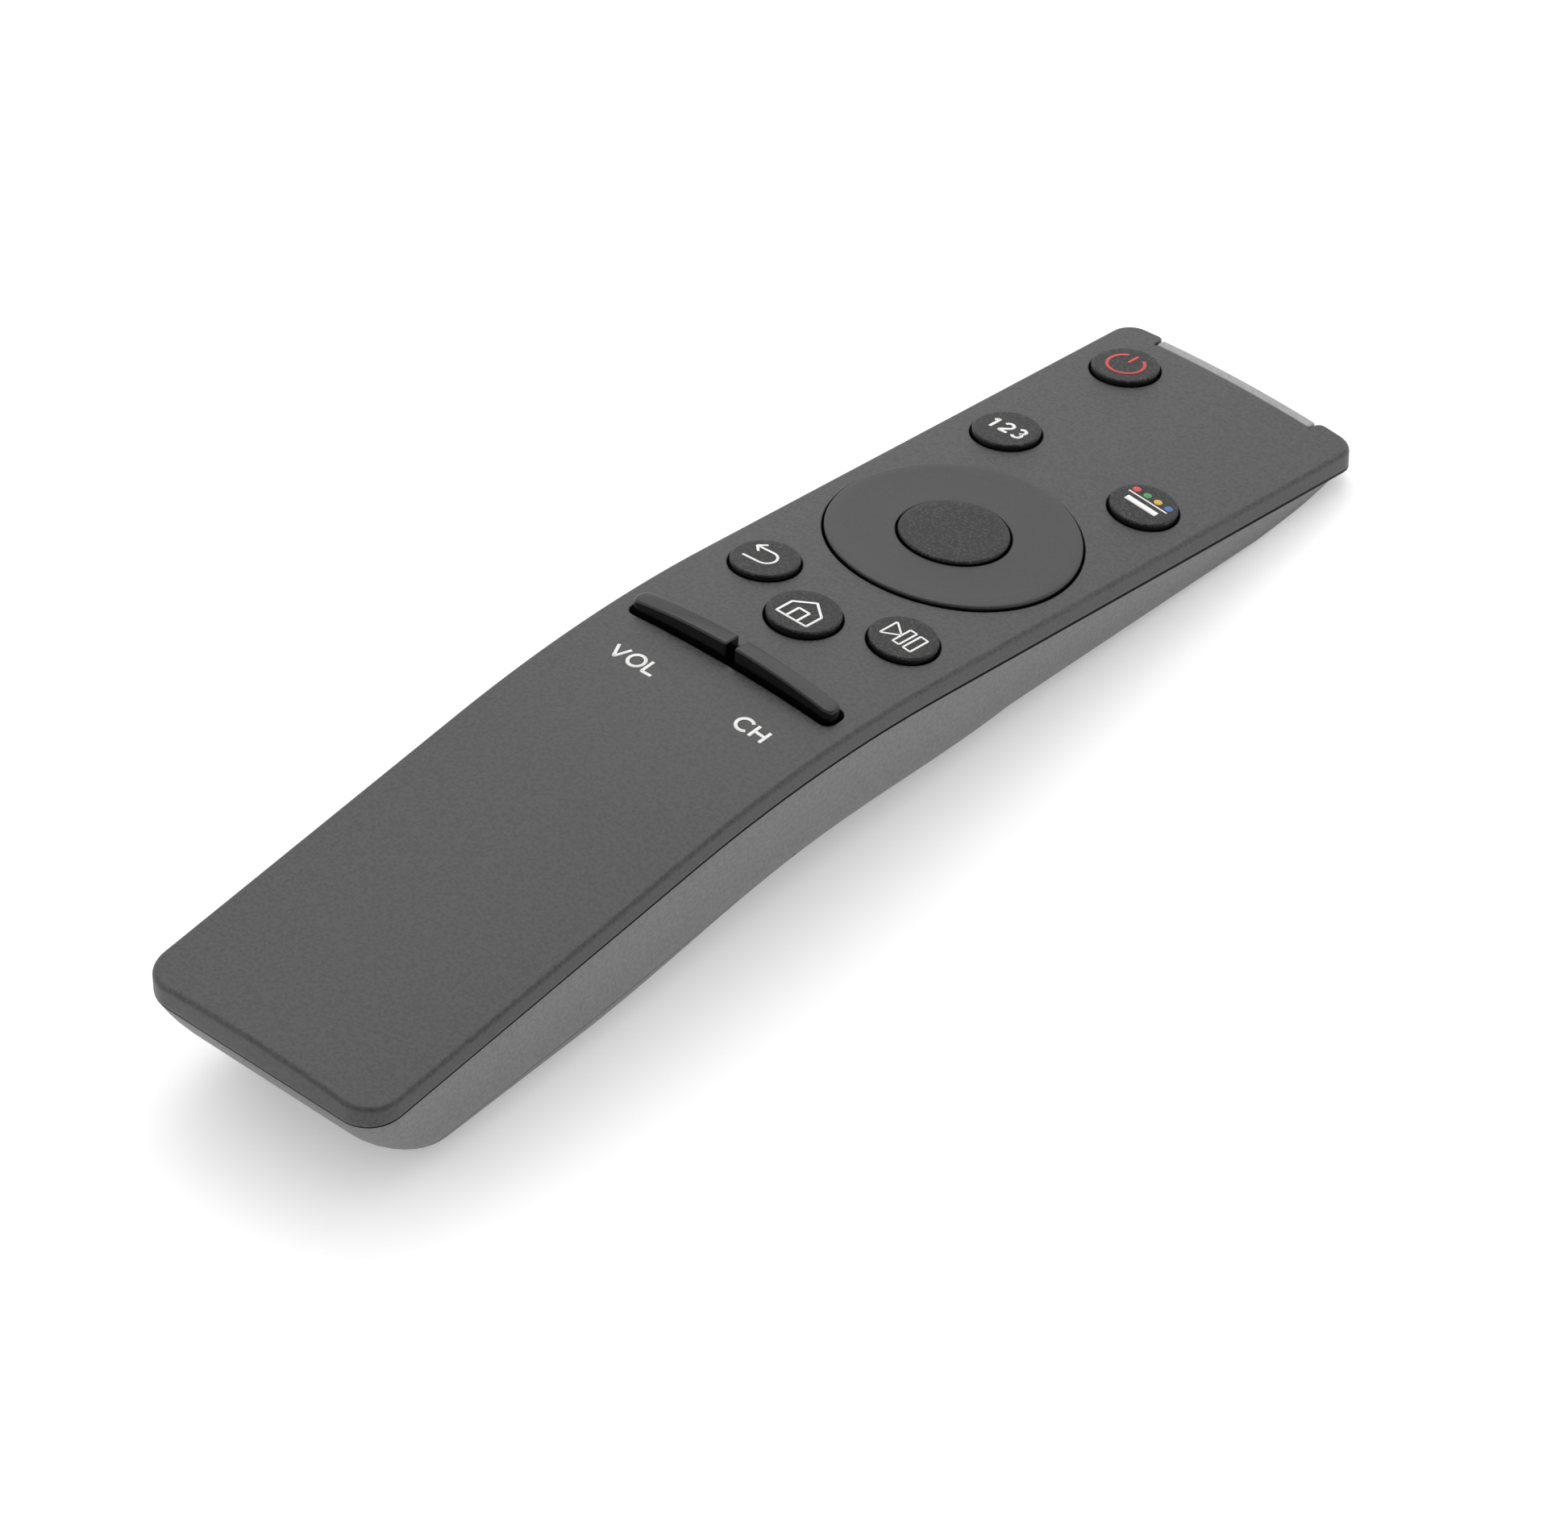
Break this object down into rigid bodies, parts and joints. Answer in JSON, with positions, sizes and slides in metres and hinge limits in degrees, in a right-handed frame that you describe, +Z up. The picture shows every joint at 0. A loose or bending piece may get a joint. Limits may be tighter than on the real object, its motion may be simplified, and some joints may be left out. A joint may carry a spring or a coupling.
{
  "type": "television remote control",
  "caption": "Slim arched remote control with a tilting direction ring, round press buttons, two tilting rocker bars and a sliding battery cover.",
  "frame": {"origin": "under the middle of the remote, on the surface that the belly rests on", "axes": "+Y along the remote towards its infrared end, +X to the right seen from above with that end ahead, +Z up out of the button face"},
  "size_m": [0.036, 0.1696, 0.0232],
  "materials": {
    "face_plastic": "satin moulded ABS, dark grey",
    "back_plastic": "fine textured moulded ABS, mid grey",
    "button_plastic": "fine spark-eroded texture, near black",
    "rocker_plastic": "satin top with glossy black sides",
    "window_plastic": "infrared-clear polycarbonate, smoky grey",
    "inner_plastic": "plain moulded ABS, black",
    "board": "glass-epoxy laminate with green solder mask",
    "mat_rubber": "moulded silicone rubber",
    "carbon": "carbon-filled pads",
    "screw_steel": "zinc-plated steel",
    "contact_metal": "nickel-plated spring steel",
    "chip_epoxy": "moulded epoxy, black",
    "shield_tin": "tin-plated sheet",
    "ceramic": "sintered ceramic chip parts",
    "capacitor_can": "drawn aluminium can",
    "lens_clear": "clear moulded epoxy",
    "cell_jacket": "plain printed metal jacket",
    "foam": "open-cell foam strip"
  },
  "bodies": {
    "casing": {"upper_housing": "face_plastic", "ir_window": "window_plastic", "lower_housing": "back_plastic", "volume_switch": "chip_epoxy", "channel_switch": "chip_epoxy", "circuit_board": "board", "keypad_mat": "mat_rubber", "contact_pads": "carbon", "board_screws": "screw_steel", "ir_emitters": "lens_clear", "main_chip": "chip_epoxy", "memory_chip": "chip_epoxy", "crystal": "shield_tin", "radio_shield": "shield_tin", "radio_chip": "chip_epoxy", "reservoir_capacitor": "capacitor_can", "power_coil": "chip_epoxy", "chip_components": "ceramic", "antenna": "shield_tin", "left_cell": "cell_jacket", "right_cell": "cell_jacket", "battery_tray": "inner_plastic", "joining_contact": "contact_metal", "negative_contact": "contact_metal", "positive_contact": "contact_metal", "joining_spring": "contact_metal", "negative_spring": "contact_metal"},
    "battery_cover": {"battery_cover": "back_plastic", "foam_strip": "foam"},
    "power_button": {"power_button": "button_plastic"},
    "number_button": {"number_button": "button_plastic"},
    "colour_button": {"colour_button": "button_plastic"},
    "return_button": {"return_button": "button_plastic"},
    "play_button": {"play_button": "button_plastic"},
    "home_button": {"home_button": "button_plastic"},
    "select_button": {"select_button": "button_plastic"},
    "ring_gimbal": {"ring_gimbal": "inner_plastic"},
    "direction_ring": {"direction_ring": "face_plastic"},
    "volume_lever": {"volume_lever": "inner_plastic"},
    "volume_rocker": {"volume_rocker": "rocker_plastic"},
    "channel_lever": {"channel_lever": "inner_plastic"},
    "channel_rocker": {"channel_rocker": "rocker_plastic"}
  },
  "joints": [
    {"name": "battery_cover_slide", "type": "slide", "parent": "casing", "child": "battery_cover", "axis": [0, -0.9994, -0.0349], "range_m": [0, 0.062]},
    {"name": "power_press", "type": "slide", "parent": "casing", "child": "power_button", "axis": [0, -0.1719, -0.9851], "range_m": [0, 0.0005], "stiffness_N_per_m": 1500},
    {"name": "number_press", "type": "slide", "parent": "casing", "child": "number_button", "axis": [0, -0.1719, -0.9851], "range_m": [0, 0.0005], "stiffness_N_per_m": 1500},
    {"name": "colour_press", "type": "slide", "parent": "casing", "child": "colour_button", "axis": [0, -0.1719, -0.9851], "range_m": [0, 0.0005], "stiffness_N_per_m": 1500},
    {"name": "return_press", "type": "slide", "parent": "casing", "child": "return_button", "axis": [0, -0.1719, -0.9851], "range_m": [0, 0.0005], "stiffness_N_per_m": 1500},
    {"name": "play_press", "type": "slide", "parent": "casing", "child": "play_button", "axis": [0, -0.1719, -0.9851], "range_m": [0, 0.0005], "stiffness_N_per_m": 1500},
    {"name": "home_press", "type": "slide", "parent": "casing", "child": "home_button", "axis": [0, -0.1719, -0.9851], "range_m": [0, 0.0005], "stiffness_N_per_m": 1500},
    {"name": "select_press", "type": "slide", "parent": "casing", "child": "select_button", "axis": [0, -0.1719, -0.9851], "range_m": [0, 0.0005], "stiffness_N_per_m": 1500},
    {"name": "ring_tilt_ahead", "type": "hinge", "parent": "casing", "child": "ring_gimbal", "pos_m": [0, 0.03145, 0.0135], "axis": [1, 0, 0], "range_deg": [-2, 2], "stiffness_Nm_per_rad": 0.35},
    {"name": "ring_tilt_sideways", "type": "hinge", "parent": "ring_gimbal", "child": "direction_ring", "pos_m": [0, 0.03145, 0.0135], "axis": [0, 0.9851, -0.1719], "range_deg": [-2, 2], "stiffness_Nm_per_rad": 0.35},
    {"name": "volume_tilt", "type": "hinge", "parent": "casing", "child": "volume_lever", "pos_m": [-0.0079, -0.0064, 0.01656], "axis": [1, 0, 0], "range_deg": [-5, 5], "stiffness_Nm_per_rad": 0.08},
    {"name": "volume_press", "type": "slide", "parent": "volume_lever", "child": "volume_rocker", "axis": [0, -0.0879, -0.9961], "range_m": [0, 0.0004], "stiffness_N_per_m": 1500},
    {"name": "channel_tilt", "type": "hinge", "parent": "casing", "child": "channel_lever", "pos_m": [0.0079, -0.0064, 0.01656], "axis": [1, 0, 0], "range_deg": [-5, 5], "stiffness_Nm_per_rad": 0.08},
    {"name": "channel_press", "type": "slide", "parent": "channel_lever", "child": "channel_rocker", "axis": [0, -0.0879, -0.9961], "range_m": [0, 0.0004], "stiffness_N_per_m": 1500}
  ]
}
